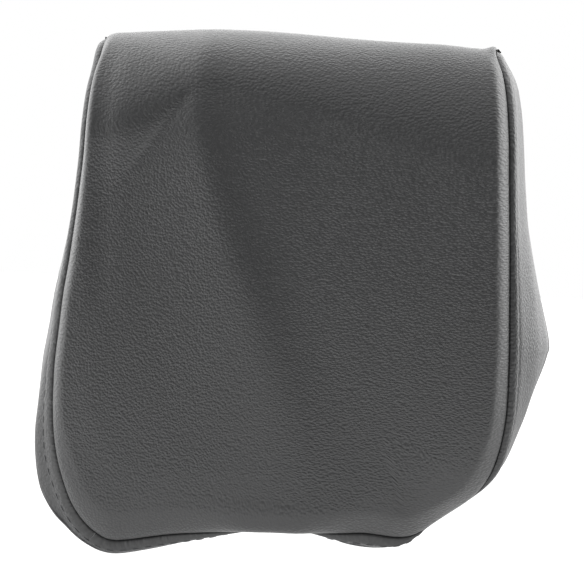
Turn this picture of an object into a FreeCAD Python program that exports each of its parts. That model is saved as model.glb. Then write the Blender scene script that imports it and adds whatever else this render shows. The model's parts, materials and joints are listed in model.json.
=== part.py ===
import FreeCAD, Part
import math
import os

# Chair headrest attachment: a leather covered pad on a tilting, height adjustable chair mount.
#
# The pad is a foam core on a bent plastic shell inside a sewn leather cover. Seen from the side it is a kite:
# a flat front, a rolled top, and a back that slopes out to a keel and in again to a thin bottom edge. The cover
# is one strip over the front and the top, a back panel, and a gusset that runs down one side, along the bottom
# and up the other. A cast saddle is screwed over the keel and carries the knuckle of a friction hinge. The
# hinge's clevis is part of a carriage, which slides on a T rail and is held by a hand knob. The rail stands on
# a base plate that is bolted to the chair.
#
# Millimetres. The origin is the centre of the base plate's bolt pattern, on the face that meets the chair.
# +X is to the side, +Y points back to the chair, -Y to the sitter's head, +Z up.

# Pad, side view (Y, Z)
FRONT_Y = -140.0
TOP_Z = 128.0
BOTTOM_Z = -104.0
ROLL_R = 27.0
KEEL_Y = -60.0
KEEL_Z = -10.0
KEEL_R = 9.0
LOWER_SLOPE = 32.0
# Pad, front view: half widths at the top, the keel's height and the bottom, on the front plane and at the keel
FRONT_HALVES = (91.0, 103.5, 107.0)
KEEL_HALVES = (95.0, 118.0, 114.0)
CORNER_R = 28.0
OUTLINE_TOP_Z = 140.0
# Cover
LEATHER = 1.5
EDGE_R = 6.0
SEAM_IN = 4.0
BACK_SEAM_Z = 84.0
BOTTOM_SEAM_X = 82.0
# Shell in the pad
SHELL = 4.0
SHELL_OUTLINE = ((-84.0, 86.0), (84.0, 86.0), (104.0, -10.0), (84.0, -56.0), (-84.0, -56.0), (-104.0, -10.0))
SHELL_FRONT_Y = -112.0
# Saddle and its screws
SADDLE = 5.0
SADDLE_HALF = 34.0
SADDLE_UP = 44.0
SADDLE_DOWN = 40.0
SADDLE_SCREW_X = 24.0
UPPER_SCREW = 30.0
LOWER_SCREW = 27.0
# Tilt hinge
PIVOT_Y = -41.0
PIVOT_Z = -10.0
PIVOT_R = 4.0
RUNNING = 0.05
KNUCKLE_R = 9.0
KNUCKLE_HALF = 10.0
EAR_IN = 11.0
EAR_OUT = 17.0
EAR_R = 9.5
# Base plate
PLATE_HALF = 48.0
PLATE = 4.0
BOLT_X = 38.0
BOLT_Z = 32.0
BOLT_R = 3.3
# Rail
RAIL_LOW = -41.0
RAIL_HIGH = 81.0
WEB_HALF = 10.0
HEAD_HALF = 18.0
HEAD_BACK = -13.0
HEAD_FRONT = -22.0
RAIL_SCREW_Z = (-30.0, 0.0, 30.0)
STOP = 6.0
# Carriage
CARRIAGE_HALF = 27.0
CARRIAGE_FRONT = -31.0
CARRIAGE_BACK = -6.0
CARRIAGE_LOW = -40.0
CARRIAGE_HIGH = 20.0
LINER = 1.4
GLIDE_GAP = 0.1
CLAMP_Y = -17.5
# Knob
KNOB_R = 14.5
KNOB_X = 52.0
KNOB_LONG = 18.0
STUD_R = 3.95
THREAD_PITCH = 1.25
# Zip in the back panel
ZIP_DOWN = 72.0
ZIP_HALF = 62.0
ZIP_SLOT_HALF = 6.0
ZIP_TAPE_HALF = 12.0
ZIP_TAPE = 1.0
CHAIN_HALF = 2.8
SLIDER_X = 54.0
BRIDGE = 4.4
BRIDGE_R = 0.8
PULL = 19.0

WIDE = 300.0
LOW = BOTTOM_Z - 6.0


def vec(x, y, z):
    return FreeCAD.Vector(x, y, z)


def box(x0, x1, y0, y1, z0, z1):
    return Part.makeBox(x1 - x0, y1 - y0, z1 - z0, vec(x0, y0, z0))


def rod_x(r, x0, x1, y, z):
    return Part.makeCylinder(r, x1 - x0, vec(x0, y, z), vec(1, 0, 0))


def rod_y(r, y0, y1, x, z):
    return Part.makeCylinder(r, y1 - y0, vec(x, y0, z), vec(0, 1, 0))


def rod_z(r, z0, z1, x, y):
    return Part.makeCylinder(r, z1 - z0, vec(x, y, z0), vec(0, 0, 1))


def hexagon(across, length, at, axis):
    """A hexagonal prism of that size across its flats, from a point along an axis."""
    corners = [vec(math.cos(math.pi * k / 3), math.sin(math.pi * k / 3), 0) * (across / math.sqrt(3))
               for k in range(7)]
    prism = Part.Face(Part.makePolygon(corners)).extrude(vec(0, 0, length))
    turn = FreeCAD.Rotation(vec(0, 0, 1), axis)
    prism.Placement = FreeCAD.Placement(at, turn)
    return prism


def rounded(points, radius):
    """A closed wire through 3D points in one plane, with each corner rounded."""
    edges = []
    starts = []
    ends = []
    count = len(points)
    for k in range(count):
        here = points[k]
        before = (points[k - 1] - here).normalize()
        after = (points[(k + 1) % count] - here).normalize()
        half = math.acos(max(-1.0, min(1.0, before.dot(after)))) / 2
        back = radius / math.tan(half)
        centre = here + (before + after).normalize() * (radius / math.sin(half))
        middle = centre + (here - centre).normalize() * radius
        starts.append(here + before * back)
        ends.append(here + after * back)
        edges.append(Part.Arc(starts[k], middle, ends[k]).toShape())
    for k in range(count):
        edges.append(Part.makeLine(ends[k], starts[(k + 1) % count]))
    return Part.Wire(Part.__sortEdges__(edges))


def plate_xz(points, radius, y0, y1):
    """A prism along Y from an outline given as (x, z) points, its corners rounded."""
    wire = rounded([vec(x, y0, z) for x, z in points], radius)
    return Part.Face(wire).extrude(vec(0, y1 - y0, 0))


def plate_yz(points, radius, x0, x1):
    """A prism along X from an outline given as (y, z) points, its corners rounded."""
    wire = rounded([vec(x0, y, z) for y, z in points], radius)
    return Part.Face(wire).extrude(vec(x1 - x0, 0, 0))


def upper_slope():
    """The upper back's angle from the vertical, in degrees: from the keel's corner, tangent to the top roll."""
    dy = KEEL_Y - (FRONT_Y + ROLL_R)
    dz = KEEL_Z - (TOP_Z - ROLL_R)
    return math.degrees(math.atan2(dz, dy) + math.acos(ROLL_R / math.hypot(dy, dz)))


UPPER_SLOPE = upper_slope()


def on_slope(shape, slope):
    """Turns a shape built on the plane Y = 0, as if the keel's corner were the origin, onto a back slope."""
    placed = shape.copy()
    placed.rotate(vec(0, 0, 0), vec(1, 0, 0), slope)
    placed.translate(vec(0, KEEL_Y, KEEL_Z))
    return placed


def profile_prism(inset):
    """The pad's side view, shrunk by inset all round, as a prism across the whole width."""
    up = math.radians(UPPER_SLOPE)
    down = math.radians(-LOWER_SLOPE)
    roll = vec(0, FRONT_Y + ROLL_R, TOP_Z - ROLL_R)
    out_up = vec(0, math.cos(up), math.sin(up))
    out_down = vec(0, math.cos(down), math.sin(down))
    bisector = (out_up + out_down).normalize()
    keel = vec(0, KEEL_Y, KEEL_Z) - bisector * (KEEL_R / bisector.dot(out_up))
    roll_r = ROLL_R - inset
    keel_r = KEEL_R - inset
    halfway = (math.pi + up) / 2
    front_low = vec(0, FRONT_Y + inset, LOW)
    front_high = vec(0, FRONT_Y + inset, roll.z)
    roll_top = roll + vec(0, math.cos(halfway), math.sin(halfway)) * roll_r
    back_high = roll + out_up * roll_r
    keel_high = keel + out_up * keel_r
    keel_low = keel + out_down * keel_r
    slope_down = vec(0, math.sin(down), -math.cos(down))
    back_low = keel_low + slope_down * ((keel_low.z - LOW) / math.cos(down))
    wire = Part.Wire([
        Part.makeLine(front_low, front_high),
        Part.Arc(front_high, roll_top, back_high).toShape(),
        Part.makeLine(back_high, keel_high),
        Part.Arc(keel_high, keel + bisector * keel_r, keel_low).toShape(),
        Part.makeLine(keel_low, back_low),
        Part.makeLine(back_low, front_low),
    ])
    prism = Part.Face(wire).extrude(vec(WIDE, 0, 0))
    prism.translate(vec(-WIDE / 2, 0, 0))
    return prism


def outline_wire(y, inset):
    """The pad's front view in the plane Y = y, shrunk by inset."""
    share = (y - FRONT_Y) / (KEEL_Y - FRONT_Y)
    top, keel, low = [a + (b - a) * share - inset for a, b in zip(FRONT_HALVES, KEEL_HALVES)]
    radius = CORNER_R - inset
    floor = BOTTOM_Z + inset
    corner = vec(low - radius, y, floor + radius)
    foot = vec(corner.x, y, floor)
    bend = corner + vec(math.sin(math.pi / 4), 0, -math.cos(math.pi / 4)) * radius
    side_low = vec(low, y, corner.z)
    side_top = vec(top, y, OUTLINE_TOP_Z)
    curve = Part.BSplineCurve()
    rise = (side_top - vec(keel, y, KEEL_Z)).normalize()
    curve.interpolate(Points=[side_low, vec(keel, y, KEEL_Z), side_top], InitialTangent=vec(0, 0, 1),
                      FinalTangent=rise)
    right = [Part.Arc(foot, bend, side_low).toShape(), curve.toShape()]
    left = [edge.mirror(vec(0, 0, 0), vec(1, 0, 0)) for edge in right]
    top_edge = Part.makeLine(side_top, vec(-side_top.x, y, side_top.z))
    bottom_edge = Part.makeLine(vec(-foot.x, y, foot.z), foot)
    return Part.Wire(Part.__sortEdges__([bottom_edge] + right + [top_edge] + left))


def outline_prism(inset):
    """The pad's front view as a solid that widens from the front plane to the keel."""
    return Part.makeLoft([outline_wire(FRONT_Y - 10, inset), outline_wire(KEEL_Y + 15, inset)], True, True)


def is_profile_face(face):
    """True for the front, the roll and the back, whose normals have no X part, but not for the bottom."""
    u0, u1, v0, v1 = face.ParameterRange
    normal = face.normalAt((u0 + u1) / 2, (v0 + v1) / 2)
    return abs(normal.x) < 1e-6 and abs(normal.z) < 0.999


def pad_solid(inset):
    """The whole pad, shrunk by inset, with the edge round its sides and bottom rounded."""
    body = profile_prism(inset).common(outline_prism(inset))
    edges = []
    for edge in body.Edges:
        faces = body.ancestorsOfType(edge, Part.Face)
        if len(faces) == 2 and is_profile_face(faces[0]) != is_profile_face(faces[1]):
            edges.append(edge)
    return body.makeFillet(EDGE_R - inset, edges)


def cover_panels(outer, inner):
    """The sewn leather: front and top strip, back panel, two side gussets and a bottom gusset."""
    cover = outer.cut(inner)
    inside_seam = outline_prism(SEAM_IN)
    strip = cover.common(inside_seam)
    gusset = cover.cut(inside_seam)
    behind = box(-WIDE, WIDE, FRONT_Y + 12, 0, LOW, BACK_SEAM_Z)
    middle = box(-BOTTOM_SEAM_X, BOTTOM_SEAM_X, -WIDE, 0, LOW, TOP_Z)
    left = box(-WIDE, -BOTTOM_SEAM_X, -WIDE, 0, LOW, TOP_Z)
    right = box(BOTTOM_SEAM_X, WIDE, -WIDE, 0, LOW, TOP_Z)
    back = strip.common(behind)
    for screw in saddle_screw_rods(2.75, -3.0, 1.0):
        back = back.cut(screw)
    back = back.cut(zip_strip(ZIP_HALF + 2, ZIP_SLOT_HALF, -4, 1))
    return {
        "front_panel": strip.cut(behind),
        "back_panel": back,
        "left_gusset": gusset.common(left),
        "right_gusset": gusset.common(right),
        "bottom_gusset": gusset.common(middle),
    }


def shell_layer(outside):
    """The shell's space in the pad, from its inner face out to that depth below the leather's outer face."""
    layer = profile_prism(outside).cut(profile_prism(LEATHER + SHELL))
    return layer.common(plate_xz(SHELL_OUTLINE, 18.0, SHELL_FRONT_Y, 0))


def inner_shell():
    """The bent plastic board behind the foam, with a hole for each T nut."""
    shell = shell_layer(LEATHER)
    for hole in saddle_screw_rods(4.0, -LEATHER - SHELL - 1, 0):
        shell = shell.cut(hole)
    return shell


def saddle_screw_rods(radius, y0, y1):
    """A rod at each of the saddle's four screws, from y0 to y1 above the leather's outer face."""
    rods = []
    for x in (-SADDLE_SCREW_X, SADDLE_SCREW_X):
        rods.append(on_slope(rod_y(radius, y0, y1, x, UPPER_SCREW), UPPER_SLOPE))
        rods.append(on_slope(rod_y(radius, y0, y1, x, -LOWER_SCREW), -LOWER_SLOPE))
    return rods


def saddle():
    """The casting over the keel, with the hinge's knuckle in its middle."""
    layer = profile_prism(-SADDLE).cut(profile_prism(0))
    outline = ((-SADDLE_HALF, KEEL_Z - SADDLE_DOWN), (SADDLE_HALF, KEEL_Z - SADDLE_DOWN),
               (SADDLE_HALF, KEEL_Z + SADDLE_UP), (-SADDLE_HALF, KEEL_Z + SADDLE_UP))
    casting = layer.common(plate_xz(outline, 10.0, -100, 0))
    back = profile_prism(0)
    neck = box(-KNUCKLE_HALF, KNUCKLE_HALF, KEEL_Y - 8, PIVOT_Y, PIVOT_Z - KNUCKLE_R, PIVOT_Z + KNUCKLE_R)
    rib = plate_yz(((KEEL_Y - 12, KEEL_Z - 34), (KEEL_Y - 2, KEEL_Z - 34), (PIVOT_Y - 4, PIVOT_Z - 6),
                    (PIVOT_Y - 4, PIVOT_Z + 6), (KEEL_Y + 4, KEEL_Z + 38), (KEEL_Y - 12, KEEL_Z + 38)),
                   1.5, -3, 3)
    casting = casting.fuse([neck.cut(back), rib.cut(back),
                            rod_x(KNUCKLE_R, -KNUCKLE_HALF, KNUCKLE_HALF, PIVOT_Y, PIVOT_Z)])
    casting = casting.cut(rod_x(PIVOT_R + RUNNING, -KNUCKLE_HALF, KNUCKLE_HALF, PIVOT_Y, PIVOT_Z))
    for hole in saddle_screw_rods(2.75, -1, SADDLE + 3):
        casting = casting.cut(hole)
    return casting.removeSplitter()


def saddle_screw(x, up, slope):
    """A pan head screw with a hex socket, through saddle, leather and shell into its T nut."""
    shank = rod_y(2.5, -9, SADDLE, x, up)
    head = rod_y(4.6, SADDLE, SADDLE + 2.8, x, up)
    socket = hexagon(3.0, 3, vec(x, SADDLE + 1.2, up), vec(0, 1, 0))
    return on_slope(shank.fuse(head).cut(socket), slope)


def t_nut(x, up, slope):
    """A T nut: a barrel in the shell's hole and a flange on the shell's front face."""
    deep = -LEATHER - SHELL
    barrel = rod_y(4.0, deep, -LEATHER - 0.4, x, up)
    flange = rod_y(9.0, deep - 1.4, deep, x, up)
    return on_slope(barrel.fuse(flange).cut(rod_y(2.5, deep - 2, 0, x, up)), slope)


def at_each_saddle_screw(make):
    solids = []
    for x in (-SADDLE_SCREW_X, SADDLE_SCREW_X):
        solids.append(make(x, UPPER_SCREW, UPPER_SLOPE))
        solids.append(make(x, -LOWER_SCREW, -LOWER_SLOPE))
    return Part.makeCompound(solids)


def zip_strip(half_long, half_wide, y0, y1):
    """A strip along X on the lower back slope, centred on the zip's line."""
    return on_slope(box(-half_long, half_long, y0, y1, -ZIP_DOWN - half_wide, -ZIP_DOWN + half_wide),
                    -LOWER_SLOPE)


def zip_chain():
    """The closed chain: a core with a row of teeth."""
    chain = box(-ZIP_HALF, ZIP_HALF, -LEATHER, -0.7, -ZIP_DOWN - 1.0, -ZIP_DOWN + 1.0)
    teeth = []
    pitch = 3.2
    count = int(2 * ZIP_HALF / pitch)
    for k in range(count):
        x = -ZIP_HALF + 0.6 + k * pitch
        side = 1 if k % 2 else -1
        low = -ZIP_DOWN + min(side * CHAIN_HALF, -side * 1.2)
        high = -ZIP_DOWN + max(side * CHAIN_HALF, -side * 1.2)
        teeth.append(box(x, x + 2.0, -LEATHER, -0.3, low, high))
    return on_slope(chain.fuse(teeth).removeSplitter(), -LOWER_SLOPE)


def zip_slider():
    """The slider on the chain's outer side, with the bridge that holds the pull."""
    body = plate_xz(((SLIDER_X - 5.5, -ZIP_DOWN - 3.5), (SLIDER_X + 5.5, -ZIP_DOWN - 4.6),
                     (SLIDER_X + 5.5, -ZIP_DOWN + 4.6), (SLIDER_X - 5.5, -ZIP_DOWN + 3.5)), 1.5, 0.1, 1.9)
    for side in (-1, 1):
        x0 = SLIDER_X + (2.9 if side > 0 else -4.1)
        leg = plate_yz(((1.0, -ZIP_DOWN - 1.1), (1.0, -ZIP_DOWN + 1.1), (BRIDGE + 1.1, -ZIP_DOWN + 1.1),
                        (BRIDGE + 1.1, -ZIP_DOWN - 1.1)), 0.5, x0, x0 + 1.2)
        body = body.fuse(leg)
    body = body.fuse(rod_x(BRIDGE_R, SLIDER_X - 3.5, SLIDER_X + 3.5, BRIDGE, -ZIP_DOWN))
    return on_slope(body.removeSplitter(), -LOWER_SLOPE)


def pull_pivot():
    """The middle of the slider's bridge, about which the pull swings."""
    return on_slope(Part.Vertex(vec(SLIDER_X, BRIDGE, -ZIP_DOWN)), -LOWER_SLOPE).Point


def zip_pull():
    """The tab: a ring round the slider's bridge and a flat blade that hangs straight down."""
    at = pull_pivot()
    ring = rod_x(BRIDGE_R + 0.9, at.x - 1.1, at.x + 1.1, at.y, at.z)
    blade = plate_xz(((at.x - 3.2, at.z - PULL), (at.x + 3.2, at.z - PULL), (at.x + 3.2, at.z - 6.5),
                      (at.x + 1.9, at.z - 4.5), (at.x + 1.9, at.z - 0.8), (at.x - 1.9, at.z - 0.8),
                      (at.x - 1.9, at.z - 4.5), (at.x - 3.2, at.z - 6.5)), 0.8, at.y - 0.7, at.y + 0.7)
    tab = ring.fuse(blade).cut(rod_x(BRIDGE_R + 0.1, at.x - 3, at.x + 3, at.y, at.z))
    return tab.cut(rod_y(1.4, at.y - 2, at.y + 2, at.x, at.z - PULL + 3.5)).removeSplitter()


def base_plate():
    """The plate that is bolted to the chair, with countersunk holes for the rail's screws."""
    corners = ((-PLATE_HALF, -PLATE_HALF), (PLATE_HALF, -PLATE_HALF), (PLATE_HALF, PLATE_HALF),
               (-PLATE_HALF, PLATE_HALF))
    plate = plate_xz(corners, 10.0, -PLATE, 0)
    for x in (-BOLT_X, BOLT_X):
        for z in (-BOLT_Z, BOLT_Z):
            plate = plate.cut(rod_y(BOLT_R, -PLATE - 1, 1, x, z))
    for z in RAIL_SCREW_Z:
        plate = plate.cut(rod_y(2.75, -PLATE - 1, 1, 0, z))
        plate = plate.cut(Part.makeCone(5.3, 2.75, 2.55, vec(0, 0, z), vec(0, -1, 0)))
    return plate


def rail_screw(z):
    """A countersunk screw from the plate's back face into the rail."""
    head = Part.makeCone(5.0, 2.5, 2.5, vec(0, -0.2, z), vec(0, -1, 0))
    shank = rod_y(2.5, -15, -2.0, 0, z)
    socket = hexagon(3.0, 1.6, vec(0, -1.8, z), vec(0, 1, 0))
    return head.fuse(shank).cut(socket)


def guide_rail():
    """The T rail: a web on the plate and a head that the carriage wraps, tapped for its screws."""
    web = box(-WEB_HALF, WEB_HALF, HEAD_BACK, -PLATE, RAIL_LOW, RAIL_HIGH)
    head = box(-HEAD_HALF, HEAD_HALF, HEAD_FRONT, HEAD_BACK, RAIL_LOW, RAIL_HIGH)
    groove = box(-4.0, 4.0, HEAD_FRONT, HEAD_FRONT + 1.5, RAIL_LOW, RAIL_HIGH)
    rail = web.fuse(head).cut(groove).removeSplitter()
    for z in RAIL_SCREW_Z:
        rail = rail.cut(rod_y(2.5, -16, -PLATE, 0, z))
    middle = (HEAD_FRONT + HEAD_BACK) / 2
    rail = rail.cut(rod_z(2.0, RAIL_HIGH - 10, RAIL_HIGH, 0, middle))
    return rail.cut(rod_z(2.0, RAIL_LOW, RAIL_LOW + 10, 0, middle))


def rail_stop(z0):
    """A plastic end stop, a little larger than the rail's head, so that the carriage can't leave it."""
    block = box(-HEAD_HALF - 1.2, HEAD_HALF + 1.2, HEAD_FRONT - 1.2, HEAD_BACK + 1.2, z0, z0 + STOP)
    uprights = [edge for edge in block.Edges if abs(edge.tangentAt(edge.FirstParameter).z) > 0.9]
    block = block.makeFillet(2.5, uprights)
    return block.cut(rod_z(2.1, z0 - 1, z0 + STOP + 1, 0, (HEAD_FRONT + HEAD_BACK) / 2))


def stop_screw(z, up):
    """A pan head screw that holds a rail stop; up is 1 at the rail's top and -1 at its foot."""
    middle = (HEAD_FRONT + HEAD_BACK) / 2
    shank = Part.makeCylinder(2.0, STOP + 8, vec(0, middle, z), vec(0, 0, -up))
    head = Part.makeCylinder(3.8, 2.4, vec(0, middle, z), vec(0, 0, up))
    socket = hexagon(2.5, 1.4, vec(0, middle, z + up * 1.2), vec(0, 0, up))
    return shank.fuse(head).cut(socket)


def carriage():
    """The block that slides on the rail, with the hinge's two ears and the knob's boss."""
    inside = HEAD_HALF + GLIDE_GAP + LINER
    front = HEAD_FRONT - GLIDE_GAP - LINER
    back = HEAD_BACK + GLIDE_GAP + LINER
    block = box(-CARRIAGE_HALF, CARRIAGE_HALF, CARRIAGE_FRONT, CARRIAGE_BACK, CARRIAGE_LOW, CARRIAGE_HIGH)
    uprights = [edge for edge in block.Edges if abs(edge.tangentAt(edge.FirstParameter).z) > 0.9]
    block = block.makeFillet(4.0, uprights)
    boss = rod_x(9.0, CARRIAGE_HALF - 6, CARRIAGE_HALF + 5, CLAMP_Y, PIVOT_Z)
    ears = []
    for x0, x1 in ((-EAR_OUT, -EAR_IN), (EAR_IN, EAR_OUT)):
        arm = plate_yz(((CARRIAGE_FRONT + 3, PIVOT_Z - 20), (CARRIAGE_FRONT + 3, PIVOT_Z + 20),
                        (PIVOT_Y - 2, PIVOT_Z + 7), (PIVOT_Y - 2, PIVOT_Z - 7)), 2.0, x0, x1)
        ears += [arm, rod_x(EAR_R, x0, x1, PIVOT_Y, PIVOT_Z)]
    block = block.fuse([boss] + ears)
    block = block.cut(box(-inside, inside, front, back, CARRIAGE_LOW - 1, CARRIAGE_HIGH + 1))
    block = block.cut(box(-WEB_HALF - 1.5, WEB_HALF + 1.5, back - 1, CARRIAGE_BACK + 1,
                          CARRIAGE_LOW - 1, CARRIAGE_HIGH + 1))
    block = block.cut(rod_x(PIVOT_R + RUNNING, -EAR_OUT - 1, EAR_OUT + 1, PIVOT_Y, PIVOT_Z))
    block = block.cut(rod_x(6.0, inside - 1, CARRIAGE_HALF + 6, CLAMP_Y, PIVOT_Z))
    return block.removeSplitter()


def glide_liner(side):
    """A plastic channel between the carriage and one edge of the rail's head; side is 1 or -1."""
    outer = HEAD_HALF + GLIDE_GAP + LINER
    inner = HEAD_HALF + GLIDE_GAP
    low = CARRIAGE_LOW + 0.5
    high = CARRIAGE_HIGH - 0.5
    channel = box(12.0, outer, HEAD_FRONT - GLIDE_GAP - LINER, HEAD_BACK + GLIDE_GAP + LINER, low, high)
    channel = channel.cut(box(11.0, inner, HEAD_FRONT - GLIDE_GAP, HEAD_BACK + GLIDE_GAP, low - 1, high + 1))
    if side > 0:
        return channel.cut(rod_x(5.0, 10, outer + 1, CLAMP_Y, PIVOT_Z))
    return channel.mirror(vec(0, 0, 0), vec(1, 0, 0))


def thread_insert():
    """The brass bush in the carriage's boss that the knob's stud screws through."""
    bush = rod_x(6.0, 22.5, CARRIAGE_HALF + 5, CLAMP_Y, PIVOT_Z)
    collar = rod_x(7.5, CARRIAGE_HALF + 5, CARRIAGE_HALF + 6.2, CLAMP_Y, PIVOT_Z)
    return bush.fuse(collar).cut(rod_x(STUD_R + RUNNING, 20, 40, CLAMP_Y, PIVOT_Z))


def clamp_pad():
    """The brass slug between the stud's tip and the rail."""
    return rod_x(4.5, HEAD_HALF + GLIDE_GAP, 20.9, CLAMP_Y, PIVOT_Z)


def knob_stud():
    """The stud: a dog point, rings for the thread and a head moulded into the knob."""
    root = STUD_R - 0.7
    points = [vec(20.95, 0, 0), vec(20.95, 2.8, 0), vec(23.0, 2.8, 0), vec(23.0, root, 0)]
    turns = 22
    for k in range(turns):
        x = 23.2 + k * THREAD_PITCH
        points += [vec(x, root, 0), vec(x + THREAD_PITCH / 2, STUD_R, 0)]
    points += [vec(51.0, root, 0), vec(51.0, STUD_R, 0), vec(56.0, STUD_R, 0), vec(56.0, 6.0, 0),
               vec(62.0, 6.0, 0), vec(62.0, 0, 0), vec(20.95, 0, 0)]
    stud = Part.Face(Part.makePolygon(points)).revolve(vec(0, 0, 0), vec(1, 0, 0), 360)
    stud.translate(vec(0, CLAMP_Y, PIVOT_Z))
    return stud


def knob_grip():
    """The hand knob: a round body with six finger hollows and a neck."""
    end = KNOB_X + KNOB_LONG
    grip = rod_x(KNOB_R, KNOB_X + 5, end, CLAMP_Y, PIVOT_Z)
    rims = [edge for edge in grip.Edges if len(edge.Vertexes) == 1]
    grip = grip.makeFillet(2.5, rims)
    hollows = 6
    for k in range(hollows):
        turn = 2 * math.pi * k / hollows
        grip = grip.cut(rod_x(6.5, KNOB_X, end + 1, CLAMP_Y + (KNOB_R + 4) * math.cos(turn),
                              PIVOT_Z + (KNOB_R + 4) * math.sin(turn)))
    grip = grip.fuse(rod_x(8.0, KNOB_X, KNOB_X + 6, CLAMP_Y, PIVOT_Z))
    grip = grip.cut(rod_x(STUD_R, KNOB_X - 1, 57, CLAMP_Y, PIVOT_Z))
    grip = grip.cut(rod_x(6.0, 56, 62, CLAMP_Y, PIVOT_Z))
    return grip.cut(rod_x(7.0, end - 3.0, end + 1, CLAMP_Y, PIVOT_Z))


def knob_cap():
    """The round cap that closes the knob's end."""
    end = KNOB_X + KNOB_LONG
    cap = rod_x(6.9, end - 3.0, end + 0.6, CLAMP_Y, PIVOT_Z)
    rims = [edge for edge in cap.Edges if len(edge.Vertexes) == 1 and edge.CenterOfMass.x > end]
    return cap.makeFillet(0.5, rims)


def pivot_bolt():
    """The hinge's bolt, its button head on the left."""
    shank = rod_x(PIVOT_R, -EAR_OUT, 28.5, PIVOT_Y, PIVOT_Z)
    head = rod_x(7.0, -EAR_OUT - 4.4, -EAR_OUT, PIVOT_Y, PIVOT_Z)
    rims = [edge for edge in head.Edges if len(edge.Vertexes) == 1 and edge.CenterOfMass.x < -EAR_OUT - 4]
    head = head.makeFillet(2.2, rims)
    socket = hexagon(5.0, 3.0, vec(-EAR_OUT - 1.8, PIVOT_Y, PIVOT_Z), vec(-1, 0, 0))
    return shank.fuse(head).cut(socket)


def pivot_nut():
    nut = hexagon(13.0, 6.5, vec(20.2, PIVOT_Y, PIVOT_Z), vec(1, 0, 0))
    return nut.cut(rod_x(PIVOT_R, 19, 30, PIVOT_Y, PIVOT_Z))


def disc_spring(x, facing):
    """A coned washer 1.6 mm high on the bolt; facing is 1 when its rim is on the left."""
    points = [vec(0, 4.1, 0), vec(0.9, 4.1, 0), vec(1.6, 8.2, 0), vec(0.7, 8.2, 0), vec(0, 4.1, 0)]
    if facing > 0:
        points = [vec(1.6 - p.x, p.y, 0) for p in points]
    ring = Part.Face(Part.makePolygon(points)).revolve(vec(0, 0, 0), vec(1, 0, 0), 360)
    ring.translate(vec(x, PIVOT_Y, PIVOT_Z))
    return ring


def friction_washer(side):
    """A disc between an ear and the knuckle."""
    x0, x1 = (KNUCKLE_HALF + RUNNING, EAR_IN) if side > 0 else (-EAR_IN, -KNUCKLE_HALF - RUNNING)
    disc = rod_x(8.6, x0, x1, PIVOT_Y, PIVOT_Z)
    return disc.cut(rod_x(PIVOT_R + RUNNING, x0 - 1, x1 + 1, PIVOT_Y, PIVOT_Z))


def foam_core(inner):
    """The foam: the cover's inside, less the shell, the T nuts' flanges and the zip's tape."""
    foam = inner.cut(shell_layer(0.5)).cut(zip_strip(ZIP_HALF + 6, ZIP_TAPE_HALF, -LEATHER - ZIP_TAPE, 0))
    deep = -LEATHER - SHELL
    for pocket in saddle_screw_rods(9.0, deep - 1.4, deep) + saddle_screw_rods(4.0, -10, deep + 1):
        foam = foam.cut(pocket)
    return foam


def write(name, shape):
    solids = [solid for solid in shape.Solids if solid.Volume > 1e-3]
    bad = [solid for solid in solids if not solid.isValid()]
    print(name, "solids", len(solids), "invalid", len(bad), "volume", round(sum(s.Volume for s in solids) / 1000, 2))
    out = solids[0] if len(solids) == 1 else Part.makeCompound(solids)
    out.exportStep("parts/" + name + ".step")


def main():
    os.makedirs("parts", exist_ok=True)
    outer = pad_solid(0)
    inner = pad_solid(LEATHER)
    tape = zip_strip(ZIP_HALF + 6, ZIP_TAPE_HALF, -LEATHER - ZIP_TAPE, -LEATHER)
    parts = cover_panels(outer, inner)
    parts.update({
        "inner_shell": inner_shell(),
        "foam_core": foam_core(inner),
        "t_nuts": at_each_saddle_screw(t_nut),
        "zip_tape": tape,
        "zip_chain": zip_chain(),
        "zip_slider": zip_slider(),
        "zip_pull": zip_pull(),
        "saddle": saddle(),
        "saddle_screws": at_each_saddle_screw(saddle_screw),
        "pivot_bolt": pivot_bolt(),
        "pivot_nut": pivot_nut(),
        "disc_springs": Part.makeCompound([disc_spring(EAR_OUT, 1), disc_spring(EAR_OUT + 1.6, -1)]),
        "friction_washers": Part.makeCompound([friction_washer(-1), friction_washer(1)]),
        "carriage": carriage(),
        "glide_liner_left": glide_liner(-1),
        "glide_liner_right": glide_liner(1),
        "thread_insert": thread_insert(),
        "clamp_pad": clamp_pad(),
        "knob_stud": knob_stud(),
        "knob_grip": knob_grip(),
        "knob_cap": knob_cap(),
        "guide_rail": guide_rail(),
        "rail_stop_top": rail_stop(RAIL_HIGH),
        "rail_stop_bottom": rail_stop(RAIL_LOW - STOP),
        "stop_screws": Part.makeCompound([stop_screw(RAIL_HIGH + STOP, 1), stop_screw(RAIL_LOW - STOP, -1)]),
        "rail_screws": Part.makeCompound([rail_screw(z) for z in RAIL_SCREW_Z]),
        "base_plate": base_plate(),
    })
    for name, shape in parts.items():
        write(name, shape)
    at = pull_pivot()
    print("upper slope", round(UPPER_SLOPE, 2), "pull pivot", round(at.x, 2), round(at.y, 2), round(at.z, 2))


main()
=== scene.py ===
import bpy
import json
import math
import numpy as np
from mathutils import Matrix, Vector
from mathutils.bvhtree import BVHTree
from mathutils.kdtree import KDTree

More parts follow.
